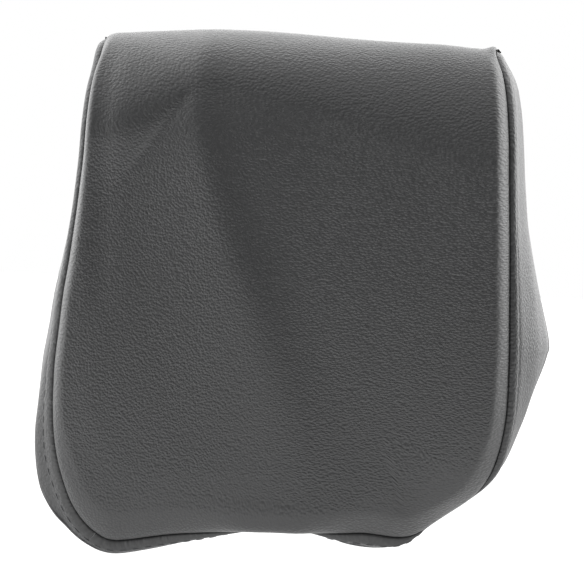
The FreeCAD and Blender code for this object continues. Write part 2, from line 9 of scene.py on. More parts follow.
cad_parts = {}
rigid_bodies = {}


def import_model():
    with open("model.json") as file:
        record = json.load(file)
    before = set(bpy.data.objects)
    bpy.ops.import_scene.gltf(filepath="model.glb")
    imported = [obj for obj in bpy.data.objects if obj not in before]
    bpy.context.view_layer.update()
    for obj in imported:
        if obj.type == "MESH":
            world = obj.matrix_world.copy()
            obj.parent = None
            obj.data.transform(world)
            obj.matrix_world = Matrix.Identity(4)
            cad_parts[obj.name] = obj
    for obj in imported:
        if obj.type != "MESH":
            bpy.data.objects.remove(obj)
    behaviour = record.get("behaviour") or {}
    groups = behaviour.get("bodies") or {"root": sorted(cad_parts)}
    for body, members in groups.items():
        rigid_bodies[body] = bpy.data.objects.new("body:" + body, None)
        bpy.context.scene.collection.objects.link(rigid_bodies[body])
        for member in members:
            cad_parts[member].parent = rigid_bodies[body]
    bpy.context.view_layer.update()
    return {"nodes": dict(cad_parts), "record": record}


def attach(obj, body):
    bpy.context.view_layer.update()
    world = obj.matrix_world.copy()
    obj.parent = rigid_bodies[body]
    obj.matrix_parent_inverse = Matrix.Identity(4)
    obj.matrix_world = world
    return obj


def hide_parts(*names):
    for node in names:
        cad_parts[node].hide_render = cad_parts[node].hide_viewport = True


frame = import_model()
nodes = frame["nodes"]
MM = 0.001

# ---------------------------------------------------------------- the pad's side view, unrolled
# All of it is in millimetres. s runs up the front from the bottom, where z is LOW_Z, over the roll,
# and down the back to the bottom again.
LOW_Z = -104.0
ROLL_R = 27.0
ROLL_S = 205.0
ROLL_TOP = ROLL_S + ROLL_R * math.pi / 2
# y and z of the roll's centre, and of the keel, the corner where the back's two slopes meet
ROLL_CENTRE = (-113.0, 101.0)
KEEL = (-60.0, -10.0)
KEEL_R = 9.0
FRONT_Y = ROLL_CENTRE[0] - ROLL_R
# the back faces up by UPPER above the keel, and down by LOWER below it
LOWER = math.radians(32.0)
ARM = (ROLL_CENTRE[0] - KEEL[0], ROLL_CENTRE[1] - KEEL[1])
UPPER = math.asin(-ROLL_R / math.hypot(*ARM)) + math.atan2(-ARM[0], ARM[1])
ROLL_END = ROLL_S + ROLL_R * (math.pi - UPPER)
KEEL_TANGENT = KEEL_R * math.tan((UPPER + LOWER) / 2)
KEEL_S = ROLL_END + math.sqrt(ARM[0] ** 2 + ARM[1] ** 2 - ROLL_R ** 2) - KEEL_TANGENT
KEEL_END = KEEL_S + KEEL_R * (UPPER + LOWER)
# below RECEDE_TOP the front curves back, by RECEDE radians for each millimetre
RECEDE = 0.00042
RECEDE_TOP = 190.0
BACK_SEAM = 307.0
ZIP_S = KEEL_END + 72.0 - KEEL_TANGENT
FIRST_S = -30.0
LAST_S = 560.0
STEP = 0.25


def side_view():
    """s, the angle that the surface faces, y and z, at small steps along the side view."""
    s = np.arange(FIRST_S, LAST_S, STEP)
    turn = math.pi - np.clip((s - ROLL_S) / ROLL_R, 0, math.pi - UPPER)
    turn = turn - np.clip((s - KEEL_S) / KEEL_R, 0, UPPER + LOWER)
    turn = turn + RECEDE * np.clip(RECEDE_TOP - s, 0, None)
    y = np.concatenate([[0], np.cumsum(np.sin(turn))[:-1] * STEP])
    z = np.concatenate([[0], np.cumsum(-np.cos(turn))[:-1] * STEP])
    at_roll = int(round((ROLL_S - FIRST_S) / STEP))
    return s, turn, y - y[at_roll] + FRONT_Y, z - z[at_roll] + ROLL_CENTRE[1]


def window(count):
    """The weights of a smoothing over this many samples."""
    return np.hanning(count) / np.hanning(count).sum()


def softened(values, count):
    """Values smoothed over this many samples."""
    return np.convolve(np.pad(values, count // 2, mode="edge"), window(count), "valid")


def roll_starts():
    """The height where the roll begins, by x. It is lower at both sides than at the peak of the crease."""
    x = np.arange(-140.0, 140.0, 1.0)
    z = np.interp(x, [-100, -85, -66, -52, -41, -28, 18, 48, 87, 110],
                  [82, 78, 80, 90, 101, 101, 91, 81, 70, 66])
    return x, softened(z, 25)


VIEW_S, VIEW_TURN, VIEW_Y, VIEW_Z = side_view()
START_X, START_Z = roll_starts()


def place(x, s, h):
    """Millimetres in the row frame of a point at x across, s along the side view and h above it."""
    x, s, h = np.broadcast_arrays(np.asarray(x, float), np.asarray(s, float), np.asarray(h, float))
    turn = np.interp(s, VIEW_S, VIEW_TURN)
    y = np.interp(s, VIEW_S, VIEW_Y)
    z = np.interp(s, VIEW_S, VIEW_Z)
    start = np.interp(x, START_X, START_Z)
    tall = ROLL_CENTRE[1] + ROLL_R - start
    angle = (s - start + LOW_Z) / (ROLL_TOP - start + LOW_Z) * math.pi / 2
    rolled = (angle > 0) & (s < ROLL_TOP)
    y = np.where(rolled, ROLL_CENTRE[0] - ROLL_R * np.cos(angle), y)
    z = np.where(rolled, start + tall * np.sin(angle), z)
    turn = np.where(rolled, np.arctan2(np.sin(angle) / tall, -np.cos(angle) / ROLL_R), turn)
    return np.stack([x, y + h * np.cos(turn), z + h * np.sin(turn)], axis=-1)


def behind(z):
    """s of a height on the back."""
    back = VIEW_S > ROLL_END - 20
    return float(np.interp(-z, -VIEW_Z[back], VIEW_S[back]))


def smooth(t):
    """0 to 1, level at both ends."""
    t = np.clip(t, 0, 1)
    return t * t * (3 - 2 * t)


def bell(t):
    """1 at 0, and down to nothing on both sides."""
    return np.exp(-t * t)


def lengths(points):
    """How far along a line of points each one lies."""
    return np.concatenate([[0], np.cumsum(np.linalg.norm(np.diff(points, axis=0), axis=1))])


def tree_of(points):
    """A tree that finds the nearest of these points."""
    tree = KDTree(len(points))
    for i, point in enumerate(points):
        tree.insert(point, i)
    tree.balance()
    return tree


def on_strip(x, s):
    """Points of the unrolled strip, as a tree takes them."""
    return [(a, b, 0.0) for a, b in zip(x, s)]


# ---------------------------------------------------------------- the seam round both panels
# x across, s along, then the groove's depth, the radius of the panel's edge, and how far the edge hangs
# over it. Where the three aren't given, they are PLAIN_SEAM's.
PLAIN_SEAM = (5.5, 7.5, 0.7)
LEFT = [(-97, 307), (-95.5, 294), (-93.5, 280), (-91.2, 268), (-89, 257, 2.6, 4.5, 0.4),
        (-88.8, 247, 2.2, 4, 0.4), (-88.6, 235, 2.4, 4.5, 0.4), (-88.8, 225, 3.4, 6, 0.4),
        (-89, 216), (-90.6, 205), (-91.8, 186), (-92.3, 174), (-94.5, 151), (-97.2, 128), (-99.4, 114),
        (-101, 97), (-102.6, 81), (-102.9, 64), (-102.3, 51), (-100.4, 39), (-97.2, 28),
        (-93.6, 18, 6, 14, 0.6), (-87.2, 9, 6.5, 20, 0.6)]
BOTTOM = [(-80, 3.5, 7, 27, 0.6), (-76, 1.6, 7, 27, 0.6), (-68, 2.6, 7, 27, 0.6),
          (-59, 4.5, 7, 26, 0.6), (-47, 7, 6.5, 24, 0.6), (-28, 9, 7, 20, 1.4), (-15, 10, 8, 17, 4.5),
          (0, 12, 11, 16, 6.5), (12, 11, 9, 15, 4.5), (25, 11.5, 7, 18, 1.6), (40, 12.8, 6, 23, 0.6),
          (53, 10.8, 7.5, 36, 0.6), (59, 10.8, 10, 42, 1.4), (65, 14, 12.5, 46, 3.6),
          (74.5, 21.2, 14.5, 48, 4.6), (83.7, 28.2, 13, 44, 4)]
RIGHT = [(89.3, 34.2, 10.5, 36, 2), (94.3, 43.5, 8.5, 30, 0.6), (97.5, 55.7, 7.5, 24, 0.6),
         (99.2, 69, 6.5, 18, 0.6), (99.3, 83, 6, 13, 0.6), (99, 99), (97.3, 141), (95, 184),
         (93.4, 200), (92.2, 208), (90.9, 216), (88.9, 223), (87.4, 230, 3.4, 5, 0.4),
         (87, 240, 3.4, 5, 0.4), (87.6, 252, 3.2, 5, 0.4), (89.6, 262), (92.6, 269), (95.4, 280),
         (96.8, 294), (97.2, 307)]
# x and z, on the back
REAR = [(98, 72), (100.8, 49), (104.8, 33), (108.8, 19), (113.2, 2), (114.8, -5), (114.5, -11),
        (112.7, -18), (109.4, -26), (105.6, -37), (101, -47), (96.2, -59), (89.5, -69), (81, -75.5),
        (72, -83.5), (60, -88), (48, -88.5), (30, -88), (10, -86.5), (-10, -87), (-28, -90),
        (-45, -94.5), (-62, -98), (-76, -99), (-86, -96), (-95, -88), (-102, -76), (-107, -59),
        (-110, -42), (-112.5, -25), (-113.5, -10), (-112, 3), (-108.3, 19), (-104.8, 33), (-101, 50),
        (-98.5, 70)]
LOOP_STEP = 0.8
# how far the seam's line, and its three numbers, are smoothed
LINE_SOFT = 3.5
SHAPE_SOFT = 6.0
# a place on the strip that the seam goes round
STRIP_MIDDLE = np.array([0.0, 250.0])


def closed_loop():
    """The seam as a closed line of even steps: x, s, depth, radius and overhang."""
    rows = [tuple(p) + PLAIN_SEAM[len(p) - 2:] for p in LEFT + BOTTOM + RIGHT]
    rows += [(x, behind(z)) + PLAIN_SEAM for x, z in REAR]
    table = np.array(rows, float)
    table = np.vstack([table, table[:1]])
    along = lengths(table[:, :2])
    count = int(along[-1] / LOOP_STEP)
    at = np.arange(count) * along[-1] / count
    out = np.stack([np.interp(at, along, table[:, k]) for k in range(5)], axis=1)
    for columns, sigma in (((0, 1), LINE_SOFT), ((2, 3, 4), SHAPE_SOFT)):
        reach = int(4 * sigma / LOOP_STEP)
        kernel = np.exp(-0.5 * (np.arange(-reach, reach + 1) * LOOP_STEP / sigma) ** 2)
        kernel /= kernel.sum()
        for k in columns:
            wrapped = np.concatenate([out[-reach:, k], out[:, k], out[:reach, k]])
            out[:, k] = np.convolve(wrapped, kernel, "valid")
    return out


def sag(x, s):
    """How the stuffing thins towards the lower right corner, seam and all."""
    low = np.clip((149 - s) / 150, 0, 1)
    return -5.0 * smooth((x + 5) / 60) * low * low


LOOP = closed_loop()
COUNT = len(LOOP)
SEAM = place(LOOP[:, 0], LOOP[:, 1], sag(LOOP[:, 0], LOOP[:, 1]) - LOOP[:, 2])
STRIP_TREE = tree_of(on_strip(LOOP[:, 0], LOOP[:, 1]))
SEAM_TREE = tree_of(SEAM)


def nearest(x, s):
    """Index of the seam's point nearest to a place on the strip."""
    return int(STRIP_TREE.find((x, s, 0.0))[1])


def out_across(index, reach):
    """The way out across the seam at its points, taken between the points this many before and after."""
    tangent = LOOP[(index + reach) % COUNT, :2] - LOOP[(index - reach) % COUNT, :2]
    out = np.stack([tangent[:, 1], -tangent[:, 0]], axis=1)
    out /= np.linalg.norm(out, axis=1)[:, None]
    out *= np.sign(((LOOP[index % COUNT, :2] - STRIP_MIDDLE) * out).sum(1))[:, None]
    return out


def to_seam(x, s):
    """Distance to the seam on the strip, the way out across it, and the seam's three numbers there."""
    flat = np.stack([x.ravel(), s.ravel()], axis=1)
    index = np.array([nearest(a, b) for a, b in flat])
    away = []
    for other in (-1, 1):
        a = LOOP[index, :2]
        along = LOOP[(index + other) % COUNT, :2] - a
        t = np.clip(((flat - a) * along).sum(1) / (along ** 2).sum(1), 0, 1)[:, None]
        away.append(np.linalg.norm(flat - (a + along * t), axis=1))
    out = out_across(index, 2)
    columns = [np.minimum(*away), out[:, 0], out[:, 1]] + [LOOP[index, k] for k in (2, 3, 4)]
    return [column.reshape(x.shape) for column in columns]


# ---------------------------------------------------------------- sheets of leather
LEATHER_THICK = 1.2
# distances from an edge at which a panel's grid has a line
NEAR_EDGE = [0, 0.35, 0.7, 1.1, 1.5, 2.0, 2.5, 3.0, 3.6, 4.2, 4.9, 5.7, 6.6, 7.6, 8.7]


def steps(length, spacing):
    """Fractions from 0 to 1 that stand close together at both ends."""
    middle = length - NEAR_EDGE[-1] - NEAR_EDGE[-1]
    count = max(2, int(round(middle / spacing)))
    inner = [NEAR_EDGE[-1] + middle * k / count for k in range(1, count)]
    return np.array(NEAR_EDGE + inner + [length - v for v in reversed(NEAR_EDGE)]) / length


def resample(points, fractions):
    """Points at these fractions of a line's length."""
    along = lengths(points)
    at = fractions * along[-1]
    return np.stack([np.interp(at, along, points[:, k]) for k in range(points.shape[1])], axis=1)


def coons(left, right, bottom, top, us, vs):
    """The x and the s of a grid that fills the patch between four lines."""
    l, r = resample(left, vs)[:, None, :], resample(right, vs)[:, None, :]
    b, t = resample(bottom, us)[None, :, :], resample(top, us)[None, :, :]
    u, v = us[None, :, None], vs[:, None, None]
    corners = ((1 - u) * (1 - v) * b[:, :1] + u * (1 - v) * b[:, -1:]
               + (1 - u) * v * t[:, :1] + u * v * t[:, -1:])
    grid = (1 - v) * b + v * t + (1 - u) * l + u * r - corners
    return grid[:, :, 0], grid[:, :, 1]


def seam_run(first, last):
    """The seam's points from one index up to another, round the loop."""
    if last < first:
        last += COUNT
    return LOOP[np.arange(first, last + 1) % COUNT, :2]


def between(first, last):
    """A straight line on the strip from one of the seam's points to another."""
    share = np.linspace(0, 1, 60)[:, None]
    return LOOP[first, :2] * (1 - share) + LOOP[last, :2] * share


def edge_drop(d, depth, radius):
    """How far a panel turns down at a distance from its edge."""
    q = np.clip(1 - d / radius, 0, 1) ** 1.4
    return -depth * (1 - np.sqrt(np.clip(1 - q * q, 0, 1)))


def smooth_mesh(name, points, faces):
    """A smooth-shaded piece from points in millimetres."""
    mesh = bpy.data.meshes.new(name)
    mesh.from_pydata((points * MM).tolist(), [], faces)
    mesh.polygons.foreach_set("use_smooth", np.ones(len(mesh.polygons), bool))
    piece = bpy.data.objects.new(name, mesh)
    bpy.context.scene.collection.objects.link(piece)
    return piece


def sheet(name, points, uv, outward):
    """A thick sheet from a grid of points, facing outward, with its flat measure as its UV map."""
    rows, cols = points.shape[:2]
    index = np.arange(rows * cols).reshape(rows, cols)
    corners = [index[:-1, :-1], index[:-1, 1:], index[1:, 1:], index[1:, :-1]]
    faces = np.stack(corners, axis=-1).reshape(-1, 4)
    across = points[:-1, 1:] - points[:-1, :-1]
    along = points[1:, :-1] - points[:-1, :-1]
    if (np.cross(across, along) * outward[:-1, :-1]).sum() < 0:
        faces = faces[:, ::-1]
    piece = smooth_mesh(name, points.reshape(-1, 3), faces.tolist())
    mesh = piece.data
    layer = mesh.uv_layers.new(name="flat")
    corner = np.zeros(len(mesh.loops), np.int32)
    mesh.loops.foreach_get("vertex_index", corner)
    layer.data.foreach_set("uv", (uv.reshape(-1, 2)[corner] * MM).astype(np.float32).ravel())
    mesh.update()
    solid = piece.modifiers.new("thickness", "SOLIDIFY")
    solid.thickness = LEATHER_THICK * MM
    solid.offset = -1
    solid.use_even_offset = False
    return piece


def panel(name, grid, height, inner_edges):
    """A stuffed panel that turns down at the seam, and at any other edges within it."""
    x, s = grid
    d, out_x, out_s, depth, radius, over = to_seam(x, s)
    # the stuffing fills the panel out close to its edge, but more slowly at the bottom and the lower left
    reach = np.interp(s, [0, 30, 60, 234], [20, 12, 7.5, 6])
    slow = 0.06 + 0.22 * smooth(-x / 40) * smooth((110 - s) / 70)
    h = height(x, s) * ((1 - slow) * smooth(d / reach) + slow * smooth(d / (3 * reach)))
    drop = edge_drop(d, depth, radius)
    for distance, inner_depth, inner_radius in inner_edges(x, s):
        drop = np.minimum(drop, edge_drop(distance, inner_depth, inner_radius))
    lip = over * np.sin(np.pi * np.clip(d / radius, 0, 1))
    points = place(x + out_x * lip, s + out_s * lip, h + drop + sag(x, s))
    outward = place(x, s, h + 1) - place(x, s, h)
    return sheet(name, points, np.stack([x, s], axis=-1), outward)


# ---------------------------------------------------------------- the front panel, which goes over the roll
# x and z of the point where both creases begin, and of the short one's end
PEAK = (-40.0, 101.0)
CREASE_END = (-78.0, 50.0)


def short_crease(x, z):
    """The crease down to the left of the peak: how much of the facet is left, and the roll's overhang."""
    long = math.hypot(CREASE_END[0] - PEAK[0], CREASE_END[1] - PEAK[1])
    way = ((CREASE_END[0] - PEAK[0]) / long, (CREASE_END[1] - PEAK[1]) / long)
    u = ((x - PEAK[0]) * way[0] + (z - PEAK[1]) * way[1]) / long
    off = (x - PEAK[0]) * way[1] - (z - PEAK[1]) * way[0]
    wide = 15 + 15 * np.clip(u, 0, 1.3)
    climb = np.clip((off + 1) / wide, 0, 1)
    climb = (1 - (1 - climb) ** 2.3) * smooth((off + 1) / 4)
    facet = 1 - climb * smooth(1.3 - u)
    hang = smooth((u + 0.1) / 0.3) * smooth((1.0 - u) / 0.6)
    return facet, 1.3 * hang * climb * smooth((60 - off) / 45)


def long_crease(x, z, facet):
    """The crease down to the right of the peak: a broad facet to its left, a steep one to its right."""
    line_x = np.interp(z, [-104, -75, -32, 11, 46, 67, 87, 101], [24, 14, 1, -14, -28, -34, -38.5, -40])
    t = x - line_x
    fall = np.interp(z, [-104, -75, -32, 11, 62, 101], [0.8, 1.8, 3.2, 4.6, 6.0, 6.4])
    steep = np.interp(z, [-104, -32, 101], [26, 16, 9])
    soft = np.interp(z, [-104, 11, 62, 100], [16, 7, 3, 1.8])
    shape = 0.6 * bell(np.clip(t, 0, None) / steep) + 0.4 * bell(np.clip(t, 0, None) / 95)
    rise = 0.8 * fall * shape * smooth((150 - z) / 75)
    away = np.clip((np.sqrt(np.clip(-t, 0, None) ** 2 + soft ** 2) - soft) / 42, 0, 1)
    return rise - np.where(t < 0, 0.64 * fall * facet * (1 - (1 - away) ** 1.8), 0)


def front_height(x, s):
    """How far the stuffed front stands off the plain side view, away from its edges."""
    z = s + LOW_Z
    crown = 1.2 + 6.0 * np.clip(1 - ((z - 70) / 175) ** 2, 0, 1)
    roll = bell((s - 247) / 34) * (4.2 * bell((x + 28) / 54) - 7.4 - 1.6 * smooth((x - 60) / 25))
    facet, over = short_crease(x, z)
    # the seam pulls a faint ridge and hollow along the upper left edge
    pull = 0.5 * bell((x + 88) / 4) - 0.5 * bell((x + 79) / 5)
    pull = pull * smooth((z + 10) / 40) * smooth((118 - z) / 15)
    brow = 2.0 * smooth((128 - z) / 24) * smooth((z - 30) / 70) * bell((x + 20) / 45)
    return crown + roll + long_crease(x, z, facet) + over + pull + brow


left_seam = nearest(-97, BACK_SEAM)
right_seam = nearest(97.5, BACK_SEAM)
low_left = nearest(-84, 6.5)
low_right = nearest(76, 30)
# depth and radius of the turned edges at the back seam
SEAM_TURN = (2.6, 3.5)

front = panel(
    "leather_front",
    coons(seam_run(left_seam, low_left)[::-1], seam_run(low_right, right_seam),
          seam_run(low_left, low_right), between(left_seam, right_seam), steps(190, 1.15), steps(300, 1.15)),
    front_height,
    lambda x, s: [(BACK_SEAM - s, *SEAM_TURN)])
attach(front, "headrest")
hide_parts("front_panel", "foam_core")

# ---------------------------------------------------------------- the back panel, in two parts at the zip
back_left = nearest(-86, behind(-96))
back_right = nearest(79, behind(-79))
zip_left = nearest(-108, ZIP_S)
zip_right = nearest(88, ZIP_S)
ZIP_HALF_OPENING = 6.0
ZIP_TURN = (3.4, 2.4)
# half the flat area under the saddle, across and along
SADDLE_HALF = (34, 44)


def zip_line(side):
    """One edge of the zip's opening, from the left seam to the right one. The opening closes at both ends."""
    left, right = LOOP[zip_left, :2], LOOP[zip_right, :2]
    x = np.linspace(left[0], right[0], 240)
    end_s = np.interp(x, [left[0], right[0]], [left[1], right[1]])
    opened = smooth((68 - np.abs(x)) / 4)
    s = end_s + (ZIP_S - end_s) * smooth((92 - np.abs(x)) / 8)
    return np.stack([x, s * (1 - opened) + (ZIP_S + side * ZIP_HALF_OPENING) * opened], axis=1)


def back_height(x, s):
    """The back is flat under the saddle and fills out round it."""
    beside = np.clip(np.abs(x) - SADDLE_HALF[0], 0, None)
    beyond = np.clip(np.abs(s - KEEL_S - 2) - SADDLE_HALF[1], 0, None)
    return 1.6 * smooth((np.hypot(beside, beyond) - 2) / 18)


def distance_to(line):
    """A function that gives how far places on the strip are from a line."""
    points = resample(line, np.linspace(0, 1, 1500))
    tree = tree_of(on_strip(points[:, 0], points[:, 1]))

    def distance(x, s):
        return np.array([tree.find(p)[2] for p in on_strip(x.ravel(), s.ravel())]).reshape(x.shape)

    return distance


upper_edge = zip_line(-1)
lower_edge = zip_line(1)
to_upper = distance_to(upper_edge)
to_lower = distance_to(lower_edge)
back_upper = panel(
    "leather_back_upper",
    coons(seam_run(zip_left, left_seam)[::-1], seam_run(right_seam, zip_right),
          between(left_seam, right_seam), upper_edge, steps(205, 1.6), steps(165, 1.6)),
    back_height,
    lambda x, s: [(s - BACK_SEAM, *SEAM_TURN), (to_upper(x, s), *ZIP_TURN)])
back_lower = panel(
    "leather_back_lower",
    coons(seam_run(back_left, zip_left)[::-1], seam_run(zip_right, back_right),
          lower_edge, seam_run(back_right, back_left)[::-1], steps(195, 1.6), steps(28, 1.0)),
    back_height,
    lambda x, s: [(to_lower(x, s), *ZIP_TURN)])
for piece in (back_upper, back_lower):
    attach(piece, "headrest")
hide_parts("back_panel")

# ---------------------------------------------------------------- the gusset, with its folded, stitched edge
top_left = nearest(-86.8, ROLL_TOP)
top_right = nearest(86.5, ROLL_TOP)
front_run = np.arange(top_left, top_right + 1)
rear_run = np.arange(top_right, top_left + COUNT + 1)[::-1] % COUNT
FRONT_EDGE = SEAM[front_run]
ALONG = lengths(FRONT_EDGE)


def closest(values, target):
    """Index of the value closest to a target."""
    return int(np.argmin(np.abs(values - target)))


def rear_edge():
    """For each seam point round the front, the point of the rear seam at its height, or at its x low down."""
    a, b = FRONT_EDGE, SEAM[rear_run]
    along = lengths(b)
    half_a, half_b = len(a) // 2, len(b) // 2
    low_a, low_b = np.where(a[:, 2] < -70)[0], np.where(b[:, 2] < -70)[0]
    knots = [(0.0, 0.0), (ALONG[-1], along[-1])]
    for z in np.arange(124, -75, -6.0):
        knots.append((ALONG[closest(a[:half_a, 2], z)], along[closest(b[:half_b, 2], z)]))
    for x in np.arange(-66, 50, 6.0):
        knots.append((ALONG[low_a[closest(a[low_a, 0], x)]], along[low_b[closest(b[low_b, 0], x)]]))
    for z in np.arange(-60, 125, 6.0):
        knots.append((ALONG[half_a + closest(a[half_a:, 2], z)], along[half_b + closest(b[half_b:, 2], z)]))
    knots = np.array(sorted(knots))
    knots[:, 1] = np.maximum.accumulate(knots[:, 1])
    target = np.interp(ALONG, knots[:, 0], knots[:, 1])
    # each end goes on straight for the 12 samples that the smoothing needs there
    padded = np.concatenate([2 * target[0] - target[12:0:-1], target, 2 * target[-1] - target[-2:-14:-1]])
    target = np.convolve(padded, window(25), "valid")
    return np.stack([np.interp(target, along, b[:, k]) for k in range(3)], axis=1)


def gusset_ways():
    """The gusset's outward way at each front seam point: to the side, or down along the bottom."""
    out = out_across(front_run, 6)
    front_side = smooth((ROLL_S - 5 - LOOP[front_run % COUNT, 1]) / 60)
    away = np.stack([out[:, 0], 0 * out[:, 0], out[:, 1] * front_side], axis=1)
    return away / np.linalg.norm(away, axis=1)[:, None]


REAR_EDGE = rear_edge()
OUT = gusset_ways()
# distances from the seam at which the gusset's grid has a column; the stitches run along one of them
NEAR_SEAM = np.array([0, 0.2, 0.5, 0.8, 1.2, 1.6, 2.0, 2.5, 3.0, 3.4, 3.8, 4.2, 4.6, 5.0, 5.4, 5.8, 6.3,
                      7.2, 8.6, 11])
STITCH_LINE = 5.0
FOLD_R = 2.8
# the gusset's part of the UV map begins here, clear of the panels'
GUSSET_UV = 400
# Places on the front seam (x, z), with how far the folded edge and the belly behind it stand out there.
STAND_OUT = [(-87.8, 128, 4.2, 0), (-90.6, 101, 3.2, 0), (-92.3, 70, 3.0, 0), (-94.5, 47, 2.9, 0),
             (-97.2, 24, 3.4, 0), (-99.4, 10, 3.4, 0.8), (-101, -7, 3.5, 0.9), (-102.6, -23, 3.7, 2.3),
             (-102.9, -40, 4.0, 4.0), (-102.3, -53, 4.2, 6.2), (-100.4, -65, 4.5, 7.6),
             (-97, -76, 4.9, 8.4), (-93.6, -86, 5.4, 8.8), (-87, -95, 6.8, 12.6), (-80, -100.5, 7.7, 12.6),
             (-68, -101.4, 7.0, 10.0), (-47, -97, 5.8, 6.2), (-28, -95, 3.6, 3.0), (-10, -93, 0.8, -3),
             (0, -92, 0.3, -4), (12, -93, 0.3, -2), (25, -92.5, 4.6, 5.4), (40, -91.2, 6.8, 8.2),
             (53, -93, 6.8, 7.8), (59, -93, 4.8, 3.0), (64, -88.5, 0.4, -3), (73, -80.5, 0, -4),
             (82, -74, 0, -4), (88.5, -69, 1.2, -1.5), (94, -60, 3.3, 0), (99, 0, 3.5, 0.6),
             (98, 50, 2.9, 0), (92, 104, 3.0, 0), (87, 128, 2.6, 0)]


def seam_point(x, z):
    """Index of the front seam's point nearest to a place seen from the front."""
    return int(np.argmin(np.hypot(FRONT_EDGE[:, 0] - x, FRONT_EDGE[:, 2] - z)))


def stand_out(column):
    """One of STAND_OUT's two measures, at every point of the front seam."""
    rows = np.array(sorted((ALONG[seam_point(x, z)], edge, belly) for x, z, edge, belly in STAND_OUT))
    return softened(np.interp(ALONG, rows[:, 0], rows[:, column]), 31)


EDGE = stand_out(1)
BELLY = stand_out(2)


def gusset_out(d, width, edge, belly):
    """How far the gusset stands out at a distance from its seam: folded edge, stitched line, soft crown."""
    folded = edge * np.sqrt(np.clip(1 - (1 - np.clip(d / FOLD_R, 0, 1)) ** 2, 0, 1))
    stitched = -0.5 * bell(d - STITCH_LINE)
    crown = 3.2 * smooth((d - 3) / 24) * np.clip(width / 60, 0, 1)
    return folded + stitched + crown + belly * smooth((d - 1.2) / 9)


def gusset(first, last):
    """The gusset between two of the front seam's points: its grid, flat measure and outward ways."""
    part = slice(first, last + 1)
    a, b, out = FRONT_EDGE[part], REAR_EDGE[part], OUT[part]
    width = np.linalg.norm(b - a, axis=1)
    middle = np.linspace(0, 1, 26)[1:-1]
    rows = []
    for w in width:
        near = NEAR_SEAM * min(1.0, w / 30)
        reach = near[-1]
        rows.append(np.concatenate([near, reach + (w - 2 * reach) * middle, w - near[::-1]]) / max(w, 1e-6))
    share = np.array(rows)[:, :, None]
    base = a[:, None, :] * (1 - share) + b[:, None, :] * share
    d = np.array([SEAM_TREE.find(p)[2] for p in base.reshape(-1, 3)]).reshape(base.shape[:2])
    d = np.minimum(d, np.minimum(share[:, :, 0], 1 - share[:, :, 0]) * width[:, None])
    stand = gusset_out(d, width[:, None], EDGE[part, None], BELLY[part, None])
    points = base + out[:, None, :] * stand[:, :, None]
    uv = np.stack([ALONG[part, None] + 0 * d, share[:, :, 0] * width[:, None] + GUSSET_UV], axis=-1)
    return points, uv, np.repeat(out[:, None, :], d.shape[1], axis=1)


join_left = seam_point(-83.4, -99)
join_right = seam_point(84, -70)
gussets = []
for name, first, last, node in (("leather_gusset_left", 0, join_left, "left_gusset"),
                                ("leather_gusset_bottom", join_left, join_right, "bottom_gusset"),
                                ("leather_gusset_right", join_right, len(front_run) - 1, "right_gusset")):
    points, uv, out = gusset(first, last)
    # the row where two gussets join is in both
    gussets.append(points[1:] if gussets else points)
    piece = sheet(name, points, uv, out)
    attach(piece, "headrest")
    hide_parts(node)

# ---------------------------------------------------------------- topstitching
STITCH_PITCH = 6.0
STITCH_LENGTH = 4.3
THREAD_R = 0.36
AROUND = 8
RINGS = 9
# seam points at both top ends where the gusset is too narrow for stitches
UNSTITCHED = 45
# metres above the plain side view from which a ray looks down for the leather, and the ray's length
RAY_START = 0.03
RAY_LENGTH = 0.06


def stitches(name, path, normal):
    """A row of thread stitches, each a small round strand that goes from one hole to the next."""
    along = lengths(path)
    count = int((along[-1] - STITCH_LENGTH) / STITCH_PITCH)
    first = (along[-1] - count * STITCH_PITCH) / 2
    way = np.linspace(-1, 1, RINGS)
    thick = THREAD_R * np.sqrt(np.clip(1 - (np.abs(way) * 0.97) ** 6, 0, 1))
    lift = -0.04 - 0.4 * np.abs(way) ** 5
    turn = np.arange(AROUND) * 2 * np.pi / AROUND
    points, faces = [], []
    for k in range(count + 1):
        at = first + k * STITCH_PITCH + way * STITCH_LENGTH / 2
        centre = np.stack([np.interp(at, along, path[:, i]) for i in range(3)], axis=1)
        up = np.stack([np.interp(at, along, normal[:, i]) for i in range(3)], axis=1)
        up /= np.linalg.norm(up, axis=1)[:, None]
        side = np.cross(np.gradient(centre, axis=0), up)
        side /= np.linalg.norm(side, axis=1)[:, None]
        centre = centre + up * lift[:, None]
        spoke = np.cos(turn)[None, :, None] * side[:, None] + np.sin(turn)[None, :, None] * up[:, None]
        base = len(points)
        points.extend((centre[:, None] + thick[:, None, None] * spoke).reshape(-1, 3))
        for i in range(RINGS - 1):
            ring, next_ring = base + i * AROUND, base + (i + 1) * AROUND
            for j in range(AROUND):
                n = (j + 1) % AROUND
                faces.append([ring + j, ring + n, next_ring + n, next_ring + j])
        faces.append([base + j for j in reversed(range(AROUND))])
        faces.append([base + (RINGS - 1) * AROUND + j for j in range(AROUND)])
    piece = smooth_mesh(name, np.array(points), faces)
    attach(piece, "headrest")


def column_path(grid, column):
    """One column of the gusset's grid, without its narrow ends, and the surface's outward way along it."""
    across = grid[:, column + 1] - grid[:, column - 1]
    along = np.gradient(grid[:, column], axis=0)
    stitched = slice(UNSTITCHED, -UNSTITCHED)
    normal = np.cross(across, along)[stitched]
    normal /= np.linalg.norm(normal, axis=1)[:, None]
    normal *= np.sign((normal * OUT[stitched]).sum(1))[:, None]
    return grid[stitched, column], normal


